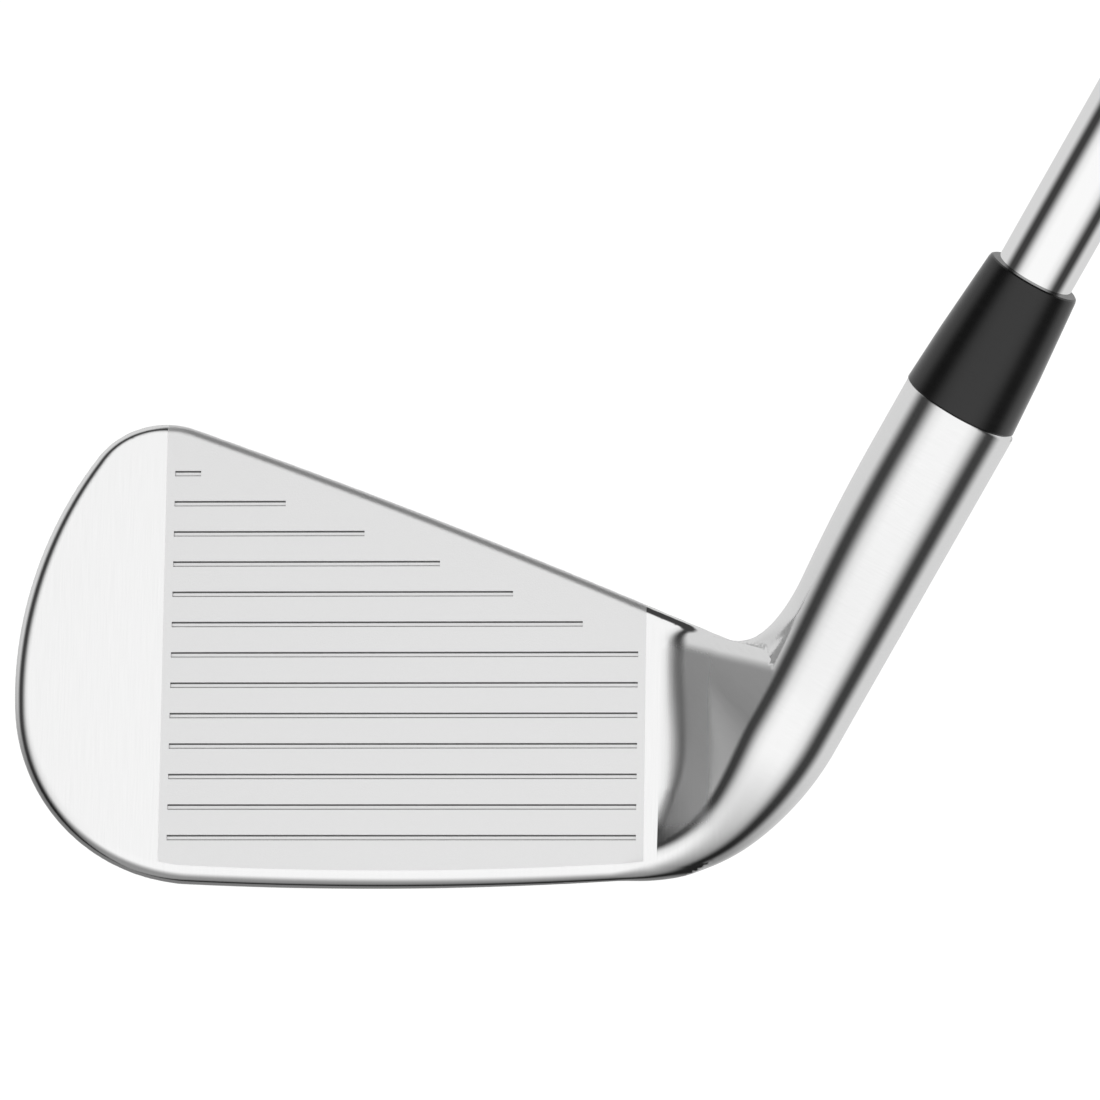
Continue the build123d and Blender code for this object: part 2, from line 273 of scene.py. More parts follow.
def skin_mesh(field, low, high, step):
    """Quad mesh of a field's zero surface: a net of one vertex in each crossed cell."""
    counts = [int(math.ceil((high[a] - low[a]) / step)) + 1 for a in range(3)]
    axes = [low[a] + step * np.arange(counts[a]) for a in range(3)]
    coarse = 4
    values = np.full(counts, 1.0)
    lattice = np.stack(np.meshgrid(*[axis[::coarse] for axis in axes], indexing="ij"), axis=-1)
    rough = field(lattice.reshape(-1, 3)).reshape(lattice.shape[:3])
    for i in range(rough.shape[0]):
        for j in range(rough.shape[1]):
            spans = [slice(i * coarse, (i + 1) * coarse), slice(j * coarse, (j + 1) * coarse)]
            near = np.abs(rough[i, j]) < step * coarse * 2.2
            values[spans[0], spans[1]] = np.repeat(np.sign(rough[i, j]), coarse)[: counts[2]]
            if not near.any():
                continue
            ks = np.flatnonzero(np.repeat(near, coarse)[: counts[2]])
            xs, ys, zs = axes[0][spans[0]], axes[1][spans[1]], axes[2][ks]
            block = np.stack(np.meshgrid(xs, ys, zs, indexing="ij"), axis=-1)
            found = field(block.reshape(-1, 3)).reshape(block.shape[:3])
            values[spans[0], spans[1]][:, :, ks] = found
    inside = values < 0
    corner = [slice(None, -1), slice(1, None)]
    total = np.zeros([count - 1 for count in counts], dtype=int)
    for i in range(2):
        for j in range(2):
            for k in range(2):
                total += inside[corner[i], corner[j], corner[k]]
    crossed = (total > 0) & (total < 8)
    cells = np.argwhere(crossed)
    number = np.full(crossed.shape, -1)
    number[crossed] = np.arange(len(cells))
    sums = np.zeros((len(cells), 3))
    hits = np.zeros(len(cells))
    for axis in range(3):
        others = [a for a in range(3) if a != axis]
        for p in range(2):
            for q in range(2):
                start = cells.copy()
                start[:, others[0]] += p
                start[:, others[1]] += q
                end = start.copy()
                end[:, axis] += 1
                a = values[tuple(start.T)]
                b = values[tuple(end.T)]
                cut = (a < 0) != (b < 0)
                part = np.where(cut, a / np.where(cut, a - b, 1.0), 0.0)
                place = start.astype(float)
                place[:, axis] += part
                sums += place * cut[:, None]
                hits += cut
    points = np.array(low) + step * sums / hits[:, None]
    quads = []
    for axis in range(3):
        others = [(axis + 1) % 3, (axis + 2) % 3]
        before = [slice(1, -1)] * 3
        before[axis] = slice(None, -1)
        after = list(before)
        after[axis] = slice(1, None)
        flips = inside[tuple(before)].astype(int) - inside[tuple(after)].astype(int)
        places = np.argwhere(flips != 0)
        signs = flips[flips != 0]
        for other in others:
            places[:, other] += 1
        ring = []
        for du, dv in ((0, 0), (-1, 0), (-1, -1), (0, -1)):
            cell = places.copy()
            cell[:, others[0]] += du
            cell[:, others[1]] += dv
            ring.append(number[tuple(cell.T)])
        ring = np.stack(ring, axis=1)
        ring[signs < 0] = ring[signs < 0][:, ::-1]
        quads.append(ring)
    return points, np.concatenate(quads)


def evened(field, points, quads, rounds=3):
    """The net with its vertices spread evenly over the skin."""
    for _ in range(rounds):
        total = np.zeros_like(points)
        count = np.zeros(len(points))
        for a, b in ((0, 1), (1, 2), (2, 3), (3, 0)):
            np.add.at(total, quads[:, a], points[quads[:, b]])
            np.add.at(total, quads[:, b], points[quads[:, a]])
            np.add.at(count, quads[:, a], 1)
            np.add.at(count, quads[:, b], 1)
        points = points * 0.4 + 0.6 * total / count[:, None]
        points = drawn_to_skin(field, points, rounds=1)
    return drawn_to_skin(field, points, rounds=2)


def mesh_piece(name, points, faces, smooth=True):
    """Object at the origin from points in millimetres."""
    mesh = bpy.data.meshes.new(name)
    mesh.from_pydata((np.asarray(points) * MM).tolist(), [], [list(map(int, face)) for face in faces])
    mesh.update()
    mesh.shade_smooth() if smooth else mesh.shade_flat()
    piece = bpy.data.objects.new(name, mesh)
    bpy.context.scene.collection.objects.link(piece)
    return piece


def turned_mesh(profile, around=128):
    """Points and faces of a solid turned about the shaft line, from (s, radius) pairs."""
    side = np.cross(SHAFT_DIR, HEEL_DIR)
    turns = np.linspace(0, 2 * math.pi, around, endpoint=False)
    points, faces, rings = [], [], []
    for station, radius in profile:
        centre = SHAFT_ORIGIN + SHAFT_DIR * station
        if radius == 0:
            rings.append([len(points)] * around)
            points.append(centre)
            continue
        rings.append(list(range(len(points), len(points) + around)))
        for turn in turns:
            points.append(centre + radius * (HEEL_DIR * math.cos(turn) + side * math.sin(turn)))
    for lower, upper in zip(rings, rings[1:] + rings[:1]):
        for i in range(around):
            j = (i + 1) % around
            corners = [lower[i], lower[j], upper[j], upper[i]]
            face = [c for k, c in enumerate(corners) if c != corners[k - 1]]
            if len(face) > 2:
                faces.append(face)
    return points, faces


def on_face(u, v, n=0.0):
    """Point in the row frame from face coordinates in millimetres."""
    return FACE_ORIGIN + np.array([u, 0.0, 0.0]) + FACE_UP * v + FACE_OUT * n


def prism_mesh(outline, deep, proud):
    """Points and faces of a prism on the face, from an outline of (u, v) points."""
    count = len(outline)
    points = [on_face(u, v, deep) for u, v in outline] + [on_face(u, v, proud) for u, v in outline]
    faces = [list(range(count))[::-1], list(range(count, 2 * count))]
    faces += [[i, (i + 1) % count, count + (i + 1) % count, count + i] for i in range(count)]
    return points, faces


def face_outwards(piece):
    """Turns the faces of a closed mesh outwards."""
    shell = bmesh.new()
    shell.from_mesh(piece.data)
    bmesh.ops.recalc_face_normals(shell, faces=shell.faces)
    shell.to_mesh(piece.data)
    shell.free()


def walled(points, faces):
    """Mesh piece with its faces turned outwards."""
    piece = mesh_piece("cutter", points, faces, smooth=False)
    face_outwards(piece)
    return piece


def carve(piece, cutters):
    """Each cutter is taken out of the piece in turn, and then thrown away."""
    for cutter in cutters:
        cut = piece.modifiers.new("cut", "BOOLEAN")
        cut.operation = "DIFFERENCE"
        cut.solver = "EXACT"
        cut.object = cutter
        result = bpy.data.meshes.new_from_object(piece.evaluated_get(bpy.context.evaluated_depsgraph_get()))
        piece.modifiers.remove(cut)
        piece.data = result
        bpy.data.objects.remove(cutter)


def walk_outline(inset_of_rise, spacing=0.5):
    """Points round the blade outline, drawn in by an inset that may follow the rise."""
    track = []
    for piece in blade_chain:
        if piece[0] == "line":
            _, x, y, turn, length = piece
            for along in np.arange(0, length, spacing):
                track.append((x + along * math.cos(turn), y + along * math.sin(turn), turn))
        else:
            _, x, y, radius, turn, angle = piece
            for a in np.linspace(0, angle, int(radius * angle / spacing) + 2)[:-1]:
                track.append((x + radius * math.sin(turn + a), y - radius * math.cos(turn + a), turn + a))
    points = []
    for x, y, turn in track:
        inset = inset_of_rise(-math.cos(turn))
        points.append((x - inset * math.sin(turn), y + inset * math.cos(turn)))
    return points


def rim_inset(rise):
    """Width of the rim's rounding where the outline's normal has this rise."""
    return LEADING_RADIUS - 0.55 * float(ease(rise, 0.2, 0.9)) + 0.06


def plate_outline():
    """Outline of the face plate: the flat inside the rim, cut off at the heel line."""
    points = [(u, v) for u, v in walk_outline(rim_inset) if u < HEEL_LINE_U - 0.1]
    slope = math.tan(math.radians(TOPLINE[1]))
    top_v = points[0][1] + (HEEL_LINE_U - 0.08 - points[0][0]) * slope
    return [(HEEL_LINE_U - 0.08, points[-1][1])] + [(HEEL_LINE_U - 0.08, top_v)] + points


HEAD_LOW = (-43.5, -13.5, -1.5)
HEAD_HIGH = (78.0, 24.5, 70.0)
HEAD_STEP = 0.5
WEIGHT_POCKETS = ((-56.5, 9.5), (-19.5, 9.5))
WEIGHT_SIZE = (18.0, 6.4, 9.2)


def slot_outline(centre, length, width):
    """Outline of a slot with round ends, from its centre on the face."""
    radius = width / 2
    reach = length / 2 - radius
    right_end = [(centre[0] + reach + radius * math.cos(a), centre[1] + radius * math.sin(a))
                 for a in np.linspace(-math.pi / 2, math.pi / 2, 17)]
    left_end = [(centre[0] - reach - radius * math.cos(a), centre[1] - radius * math.sin(a))
                for a in np.linspace(-math.pi / 2, math.pi / 2, 17)]
    return right_end + left_end


head_points, head_quads = skin_mesh(head_field, HEAD_LOW, HEAD_HIGH, HEAD_STEP)
head_points = evened(head_field, head_points, head_quads)
head = mesh_piece("forged_head", head_points, head_quads)

mouth_cut = [
    (BORE_BOTTOM, 0), (BORE_BOTTOM, BORE_RADIUS), (HOSEL_TOP, BORE_RADIUS),
    (HOSEL_TOP, HOSEL_RADIUS - 0.35), (HOSEL_TOP - 3.65, HOSEL_RADIUS + 3.3),
    (HOSEL_TOP + 20, HOSEL_RADIUS + 3.3), (HOSEL_TOP + 20, 0),
]
cutters = [walled(*turned_mesh(mouth_cut, 144))]
cutters.append(walled(*prism_mesh(plate_outline(), -PLATE_THICKNESS, 6.0)))
for centre in WEIGHT_POCKETS:
    pocket = slot_outline(centre, WEIGHT_SIZE[0], WEIGHT_SIZE[1])
    cutters.append(walled(*prism_mesh(pocket, -PLATE_THICKNESS - WEIGHT_SIZE[2], -PLATE_THICKNESS + 1.0)))
carve(head, cutters)


def polish_normals(piece, field, reach=0.12):
    """Shading normals from the field's gradient on its skin, and flat ones elsewhere."""
    mesh = piece.data
    count = len(mesh.vertices)
    places = np.empty(count * 3)
    mesh.vertices.foreach_get("co", places)
    places = places.reshape(-1, 3) / MM
    slope = field_slope(field, places)
    slope /= np.maximum(np.linalg.norm(slope, axis=1), 1e-6)[:, None]
    on_skin = np.abs(field(places)) < reach
    corner_vertex = np.empty(len(mesh.loops), dtype=int)
    mesh.loops.foreach_get("vertex_index", corner_vertex)
    starts = np.empty(len(mesh.polygons), dtype=int)
    sizes = np.empty(len(mesh.polygons), dtype=int)
    flats = np.empty(len(mesh.polygons) * 3)
    mesh.polygons.foreach_get("loop_start", starts)
    mesh.polygons.foreach_get("loop_total", sizes)
    mesh.polygons.foreach_get("normal", flats)
    flats = np.repeat(flats.reshape(-1, 3), sizes, axis=0)
    order = np.repeat(starts, sizes) + np.concatenate([np.arange(size) for size in sizes])
    face_normal = np.empty_like(flats)
    face_normal[order] = flats
    normals = slope[corner_vertex]
    agree = (normals * face_normal).sum(axis=1) > 0.4
    keep = on_skin[corner_vertex] & agree
    normals = np.where(keep[:, None], normals, face_normal)
    mesh.shade_smooth()
    mesh.normals_split_custom_set(normals.tolist())


polish_normals(head, head_field)


class Reading:
    """One value inside a finish. Sums on it add the Math nodes that work them out."""

    def __init__(self, finish, socket):
        self.finish = finish
        self.socket = socket

    def maths(self, operation, first, second):
        return self.finish.node("ShaderNodeMath", {"operation": operation}, {0: first, 1: second})

    def __add__(self, other):
        return self.maths("ADD", self, other)

    def __radd__(self, other):
        return self.maths("ADD", other, self)

    def __sub__(self, other):
        return self.maths("SUBTRACT", self, other)

    def __rsub__(self, other):
        return self.maths("SUBTRACT", other, self)

    def __mul__(self, other):
        return self.maths("MULTIPLY", self, other)

    def __rmul__(self, other):
        return self.maths("MULTIPLY", other, self)

    def __truediv__(self, other):
        return self.maths("DIVIDE", self, other)


class Finish:
    """A node tree under construction: a metal's or a plastic's finish, or the studio."""

    def __init__(self, tree):
        self.tree = tree

    def node(self, kind, settings=None, inputs=None, output=0):
        """Adds a node, sets it up, feeds its inputs, and returns one of its outputs."""
        made = self.tree.nodes.new(kind)
        for name, value in (settings or {}).items():
            setattr(made, name, value)
        for name, value in (inputs or {}).items():
            self.feed(made.inputs[name], value)
        return Reading(self, made.outputs[output])

    def feed(self, socket, value):
        """Links a reading to a socket, or sets a plain value on it."""
        if isinstance(value, Reading):
            self.tree.links.new(value.socket, socket)
        else:
            socket.default_value = value

    def along(self, vector, direction):
        """Part of a vector that lies along a fixed direction."""
        return self.node("ShaderNodeVectorMath", {"operation": "DOT_PRODUCT"},
                         {0: vector, 1: tuple(direction)}, output=1)

    def step(self, value, low, high):
        """Smooth step from 0 at low to 1 at high."""
        return self.node("ShaderNodeMapRange", {"interpolation_type": "SMOOTHSTEP"},
                         {"Value": value, "From Min": low, "From Max": high})

    def blend(self, share, first, second):
        """Plain mix of two numbers."""
        return self.node("ShaderNodeMix", {"data_type": "FLOAT"}, {0: share, 2: first, 3: second})

    def tint(self, share, first, second):
        """Mix of two colours."""
        return self.node("ShaderNodeMix", {"data_type": "RGBA"}, {0: share, 6: first, 7: second}, output=2)

    def noise(self, vector, scale, detail=2.0, roughness=0.5):
        """Noise between 0 and 1 at a vector."""
        return self.node("ShaderNodeTexNoise", {}, {
            "Vector": vector, "Scale": scale, "Detail": detail, "Roughness": roughness})

    def join(self, x, y, z):
        """Vector from three numbers."""
        return self.node("ShaderNodeCombineXYZ", {}, {0: x, 1: y, 2: z})

    def relief(self, height, depth, strength=1.0):
        """Normal for a height between 0 and 1 that stands for a depth in metres."""
        return self.node("ShaderNodeBump", {}, {"Strength": strength, "Distance": depth, "Height": height})


class Coat(Finish):
    """A material on the Principled shader, with readings in millimetres on the club's own axes."""

    def __init__(self, name, **constants):
        self.material = bpy.data.materials.new(name)
        self.material.use_nodes = True
        super().__init__(self.material.node_tree)
        self.shader = self.tree.nodes["Principled BSDF"]
        for socket, value in constants.items():
            self.set(socket.replace("_", " "), value)
        place = self.node("ShaderNodeTexCoord", {}, {}, output=3)
        self.place = self.node("ShaderNodeVectorMath", {"operation": "SCALE"}, {0: place, "Scale": 1 / MM})

    def set(self, name, value):
        """Sets or feeds one of the shader's sockets, named as the shader names it."""
        names = {socket.name.lower(): socket for socket in self.shader.inputs}
        self.feed(names[name.lower()], value)

    def face_place(self):
        """Readings of u, v and n on the striking face."""
        origin = FACE_ORIGIN
        u = self.along(self.place, (1, 0, 0)) - float(origin[0])
        v = self.along(self.place, FACE_UP) - float(origin @ FACE_UP)
        n = self.along(self.place, FACE_OUT) - float(origin @ FACE_OUT)
        return u, v, n

    def shaft_place(self):
        """Reading of s along the shaft line, and the two distances square to it."""
        s = self.along(self.place, SHAFT_DIR) - float(SHAFT_ORIGIN @ SHAFT_DIR)
        heel = self.along(self.place, HEEL_DIR) - float(SHAFT_ORIGIN @ HEEL_DIR)
        behind = self.along(self.place, (0, 1, 0)) - float(SHAFT_ORIGIN[1])
        return s, heel, behind

    def wear(self, *pieces):
        """Gives the material to pieces that have none, or in place of the one they have."""
        for piece in pieces:
            piece.data.materials.clear()
            piece.data.materials.append(self.material)


STEEL_COLOUR = (0.94, 0.94, 0.935, 1)
POCKET_DULLNESS = 0.21
BRUSHED_LOW = (0.88, 0.88, 0.88, 1)
BRUSHED_HIGH = (0.97, 0.97, 0.97, 1)
BLAST_COLOUR = (0.95, 0.95, 0.95, 1)
# Painted shade: dark grey given to the groove walls in place of the shade that falls in the recess
GROOVE_WALL_SHADE_COLOUR = (0.22, 0.22, 0.22, 1)
BLAST_TOE_U = -60.93
BLAST_HEEL_U = -5.75


def club_steel(name, blast_low_v, groove_shade_share):
    """Nickel-chrome plated steel: polished, brushed, and blasted over the hitting area, with painted shade,
    in the given share, on the walls of the face grooves.
    """
    steel = Coat(name, metallic=1.0, base_color=STEEL_COLOUR)
    u, v, n = steel.face_place()
    s, heel, behind = steel.shaft_place()
    rings = steel.noise(steel.join(s * 9.0, heel * 0.35, behind * 0.35), 1.0, 3.0, 0.6)
    uprights = steel.noise(steel.join(u * 7.0, v * 0.16, n * 0.5), 1.0, 3.0, 0.6)
    grain = steel.noise(steel.place, 5.5, 2.0, 0.6)
    on_neck = steel.step(s, 6.0, 16.0) * steel.step(u, -6.0, 2.0)
    brushed = steel.blend(on_neck, uprights, rings)
    inside = steel.step(u, BLAST_TOE_U - 0.05, BLAST_TOE_U + 0.05) * (
        1 - steel.step(u, BLAST_HEEL_U - 0.05, BLAST_HEEL_U + 0.05))
    blasted = inside * steel.step(v, blast_low_v, blast_low_v + 0.2) * steel.step(n, -1.7, -0.9)
    colour = steel.tint(blasted, steel.tint(brushed, BRUSHED_LOW, BRUSHED_HIGH), BLAST_COLOUR)
    # Painted shade: the walls of the face grooves are darkened in the base colour, where the recess would be
    # in shade
    painted_groove_shade = steel.step(-1 * n, 0.01, 0.05) * (1 - steel.step(-1 * n, 0.27, 0.3)) * groove_shade_share
    steel.set("Base Color", steel.tint(painted_groove_shade, colour, GROOVE_WALL_SHADE_COLOUR))
    steel.set("Metallic", 1 - 0.3 * blasted)
    # The hollow between face and hosel is out of the wheel's reach, so it stays duller
    pocket = steel.step(n, 0.0, 0.25) * (1 - steel.step(n, 3.4, 4.6))
    pocket = pocket * steel.step(u, -5.0, -3.5) * (1 - steel.step(u, 5.0, 7.0)) * steel.step(v, 4.0, 7.0)
    pocket = pocket * (1 - steel.step(v + 0.43 * u, 25.0, 28.0))
    polish = 0.075 + 0.09 * brushed + POCKET_DULLNESS * pocket
    steel.set("Roughness", steel.blend(blasted, polish, 0.32 + 0.08 * grain))
    height = steel.blend(blasted, brushed * 0.022, grain * 0.12)
    steel.set("Normal", steel.relief(height, 0.00012))
    return steel


club_steel("head_steel", 6.0, 0.0).wear(head)
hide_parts("head_body")
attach(head, "root")

# ---------------------------------------------------------------- Face plate
# A plate of hard spring steel, welded into its seat and ground flush. Thirteen
# grooves are milled across it, and the hitting area is masked and blasted.
GROOVE_COUNT = 13
GROOVE_PITCH = 3.54
GROOVE_FIRST_V = 4.9
GROOVE_TOE_U = -59.97
GROOVE_HEEL_U = -6.64
SHORT_GROOVES = (-13.0, -21.0, -29.4, -38.1, -47.2, -57.0)
GROOVE_SECTION = ((-0.36, 0.1), (-0.31, -0.02), (-0.16, -0.3), (0.16, -0.3), (0.31, -0.02), (0.36, 0.1))


def groove_bars():
    """One mesh of all the grooves' cutter bars, worked out row by row by nodes."""
    bar = mesh_piece("groove_bar", *bar_of_unit_length(), smooth=False)
    marks = bpy.data.meshes.new("groove_marks")
    marks.from_pydata([(0, 0, 0)] * GROOVE_COUNT, [], [])
    lengths = marks.attributes.new("length", "FLOAT", "POINT")
    for index in range(GROOVE_COUNT):
        short = index - (GROOVE_COUNT - len(SHORT_GROOVES))
        heel_u = GROOVE_HEEL_U if short < 0 else SHORT_GROOVES[short]
        lengths.data[index].value = heel_u - GROOVE_TOE_U
    piece = bpy.data.objects.new("groove_marks", marks)
    bpy.context.scene.collection.objects.link(piece)

    tree = bpy.data.node_groups.new("groove_rows", "GeometryNodeTree")
    tree.interface.new_socket("Geometry", in_out="INPUT", socket_type="NodeSocketGeometry")
    bar_input = tree.interface.new_socket("Bar", in_out="INPUT", socket_type="NodeSocketObject")
    pitch_input = tree.interface.new_socket("Pitch", in_out="INPUT", socket_type="NodeSocketVector")
    first_input = tree.interface.new_socket("First groove", in_out="INPUT", socket_type="NodeSocketVector")
    tree.interface.new_socket("Geometry", in_out="OUTPUT", socket_type="NodeSocketGeometry")
    rows = Finish(tree)
    entry = tree.nodes.new("NodeGroupInput")
    given = {socket.name: Reading(rows, socket) for socket in entry.outputs}
    row = rows.node("GeometryNodeInputIndex")
    shift = rows.node("ShaderNodeVectorMath", {"operation": "SCALE"}, {0: given["Pitch"], "Scale": row})
    place = rows.node("ShaderNodeVectorMath", {"operation": "ADD"}, {0: given["First groove"], 1: shift})
    points = rows.node("GeometryNodeSetPosition", {}, {"Geometry": given["Geometry"], "Position": place})
    length = rows.node("GeometryNodeInputNamedAttribute", {"data_type": "FLOAT"}, {"Name": "length"})
    one_bar = rows.node("GeometryNodeObjectInfo", {}, {"Object": given["Bar"]}, output="Geometry")
    stretch = rows.node("ShaderNodeCombineXYZ", {}, {0: length, 1: 1.0, 2: 1.0})
    bars = rows.node("GeometryNodeInstanceOnPoints", {}, {
        "Points": points, "Instance": one_bar, "Scale": stretch})
    solid = rows.node("GeometryNodeRealizeInstances", {}, {"Geometry": bars})
    finished = rows.node("GeometryNodeSetMaterial", {}, {"Geometry": solid})
    leave = tree.nodes.new("NodeGroupOutput")
    rows.feed(leave.inputs[0], finished)
    made = piece.modifiers.new("rows", "NODES")
    made.node_group = tree
    made[bar_input.identifier] = bar
    made[pitch_input.identifier] = tuple(float(c) * MM * GROOVE_PITCH for c in FACE_UP)
    first = on_face(GROOVE_TOE_U, GROOVE_FIRST_V)
    made[first_input.identifier] = tuple(float(c) * MM for c in first)
    piece.data = bpy.data.meshes.new_from_object(piece.evaluated_get(bpy.context.evaluated_depsgraph_get()))
    piece.modifiers.remove(made)
    bpy.data.objects.remove(bar)
    face_outwards(piece)
    return piece


def bar_of_unit_length():
    """Points and faces of a bar of the grooves' section, one millimetre long."""
    points = [np.array([u, 0, 0]) + FACE_UP * v + FACE_OUT * n for u in (0, 1) for v, n in GROOVE_SECTION]
    size = len(GROOVE_SECTION)
    faces = [list(range(size)), list(range(size, 2 * size))[::-1]]
    faces += [[i, size + i, size + (i + 1) % size, (i + 1) % size] for i in range(size)]
    return points, faces


plate = walled(*prism_mesh(plate_outline(), -PLATE_THICKNESS, 0.0))
plate.name = "grooved_plate"
carve(plate, [groove_bars()])
plate.data.shade_flat()
club_steel("face_steel", -5.0, 1.0).wear(plate)
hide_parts("face_plate")
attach(plate, "root")

# ---------------------------------------------------------------- Weights
# Two slugs of sintered tungsten, pressed into pockets behind the plate. Their
# skin is dull and a little grainy.
tungsten = Coat("tungsten", metallic=1.0, roughness=0.45)
speck = tungsten.noise(tungsten.place, 9.0, 3.0, 0.7)
tungsten.set("Base Color", tungsten.tint(speck, (0.2, 0.2, 0.21, 1), (0.34, 0.34, 0.35, 1)))
tungsten.set("Normal", tungsten.relief(speck, 0.00005))
tungsten.wear(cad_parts["toe_weight"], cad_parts["heel_weight"])

# ---------------------------------------------------------------- Damper and its tape
# A cast layer of soft polymer sticks to the back of the plate and quiets it, and
# a sheet of acrylic tape joins the badge to it.
polymer = Coat("damper_polymer", roughness=0.6)
cloud = polymer.noise(polymer.place, 0.8, 3.0)
polymer.set("Base Color", polymer.tint(cloud, (0.02, 0.022, 0.025, 1), (0.035, 0.037, 0.04, 1)))
polymer.set("Normal", polymer.relief(polymer.noise(polymer.place, 6.0), 0.00003))
polymer.wear(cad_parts["damper"])
acrylic = Coat("adhesive_tape", roughness=0.35)
flow = acrylic.noise(acrylic.place, 1.5, 3.0)
acrylic.set("Base Color", acrylic.tint(flow, (0.55, 0.53, 0.47, 1), (0.66, 0.64, 0.58, 1)))
acrylic.set("Normal", acrylic.relief(flow, 0.00003))
acrylic.wear(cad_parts["badge_tape"])

# ---------------------------------------------------------------- Back badge
# A coined aluminium plate, anodised dark, stuck in the window behind the face. It
# has a plain raised border and slanted ribs over its sunken middle.
BADGE_BACK_N = -4.2
BADGE_FRONT_N = -3.4
BADGE_GAP = 0.3
BADGE_BORDER = 1.7
BADGE_SINK = 0.3
RIB_PITCH = 2.4
RIB_HEIGHT = 0.2
RIB_SLANT = math.radians(62.0)


def badge_field(points):
    """Signed distance to the badge, for points in millimetres."""
    from_face = points - FACE_ORIGIN
    u = from_face[:, 0]
    v = from_face @ FACE_UP
    n = from_face @ FACE_OUT
    outline, _ = chain_field(blade_chain, u, v)
    border = edge(outline + WINDOW_INSET + BADGE_GAP, WINDOW_LOW_V + BADGE_GAP - v, WINDOW_CORNER)
    border = edge(border, u - WINDOW_HEEL_U + BADGE_GAP, WINDOW_CORNER)
    across = u * math.sin(RIB_SLANT) - v * math.cos(RIB_SLANT)
    rib = 0.5 + 0.5 * np.cos(across * 2 * math.pi / RIB_PITCH)
    sink = BADGE_SINK - RIB_HEIGHT * ease(rib, 0.15, 0.85)
    sink = sink * (1 - ease(border + BADGE_BORDER, -0.5, 0.0))
    slab = np.maximum(BADGE_BACK_N + sink - n, n - BADGE_FRONT_N)
    return edge(border, slab, 0.15)


badge_low = on_face(-76.0, 20.5, BADGE_BACK_N)
badge_high = on_face(-9.5, 50.5, BADGE_FRONT_N)
badge_low, badge_high = np.minimum(badge_low, badge_high) - 1.5, np.maximum(badge_low, badge_high) + 1.5
BADGE_STEP = 0.32
badge_points, badge_quads = skin_mesh(badge_field, badge_low, badge_high, BADGE_STEP)
badge_points = drawn_to_skin(badge_field, badge_points, rounds=4)
badge = mesh_piece("ribbed_badge", badge_points, badge_quads)
anodised = Coat("badge_aluminium", metallic=1.0)
u, v, n = anodised.face_place()
streak = anodised.noise(anodised.join(u * 0.3, v * 11.0, n * 2.0), 1.0, 3.0, 0.6)
raised = anodised.step(n, BADGE_BACK_N + 0.05, BADGE_BACK_N + 0.16)
anodised.set("Base Color", anodised.tint(raised, (0.62, 0.63, 0.65, 1), (0.11, 0.115, 0.125, 1)))
anodised.set("Roughness", 0.22 + 0.16 * streak)
anodised.set("Normal", anodised.relief(streak, 0.000004))
anodised.wear(badge)
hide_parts("back_badge")
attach(badge, "root")

# ---------------------------------------------------------------- Ferrule
# A collar of black cellulose plastic, turned on the shaft to meet the hosel
# without a step and wiped with acetone until it shines.
FERRULE_TOP = 78.7
SHAFT_TIP_RADIUS = 4.5
ferrule_profile = [
    (HOSEL_TOP, SHAFT_TIP_RADIUS), (HOSEL_TOP, 6.62), (HOSEL_TOP + 0.12, 6.72),
    (68.6, 6.31), (FERRULE_TOP - 0.5, 5.52), (FERRULE_TOP - 0.15, 5.42), (FERRULE_TOP, 5.2),
    (FERRULE_TOP, SHAFT_TIP_RADIUS),
]
ferrule = walled(*turned_mesh(ferrule_profile, 160))
ferrule.name = "ferrule_collar"
ferrule.data.shade_smooth()
ferrule.data.set_sharp_from_angle(angle=math.radians(30))
black = Coat("ferrule_plastic", roughness=0.16)
s, heel, behind = black.shaft_place()
wipe = black.noise(black.join(s * 3.0, heel * 0.3, behind * 0.3), 1.0, 3.0)
black.set("Base Color", black.tint(wipe, (0.006, 0.006, 0.006, 1), (0.01, 0.01, 0.01, 1)))
black.set("Roughness", 0.14 + 0.1 * wipe)
black.set("Normal", black.relief(wipe, 0.000002))
black.wear(ferrule)
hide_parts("ferrule")
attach(ferrule, "root")

# ---------------------------------------------------------------- Epoxy and balance plug
# Two-part glue fills the gap between shaft and bore, and a turned brass plug sits
# in the tip of the shaft to bring the club to its swing weight.
glue = Coat("epoxy", roughness=0.25)
clouds = glue.noise(glue.place, 0.7, 3.0)
glue.set("Base Color", glue.tint(clouds, (0.45, 0.36, 0.16, 1), (0.6, 0.5, 0.26, 1)))
glue.set("Normal", glue.relief(clouds, 0.00004))
glue.wear(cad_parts["hosel_epoxy"])
brass = Coat("plug_brass", metallic=1.0, roughness=0.3)
s, heel, behind = brass.shaft_place()
turning = brass.noise(brass.join(s * 6.0, heel * 0.2, behind * 0.2), 1.0)
brass.set("Base Color", brass.tint(turning, (0.62, 0.42, 0.15, 1), (0.75, 0.55, 0.24, 1)))
brass.set("Normal", brass.relief(turning, 0.00001))
brass.wear(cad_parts["tip_weight"])

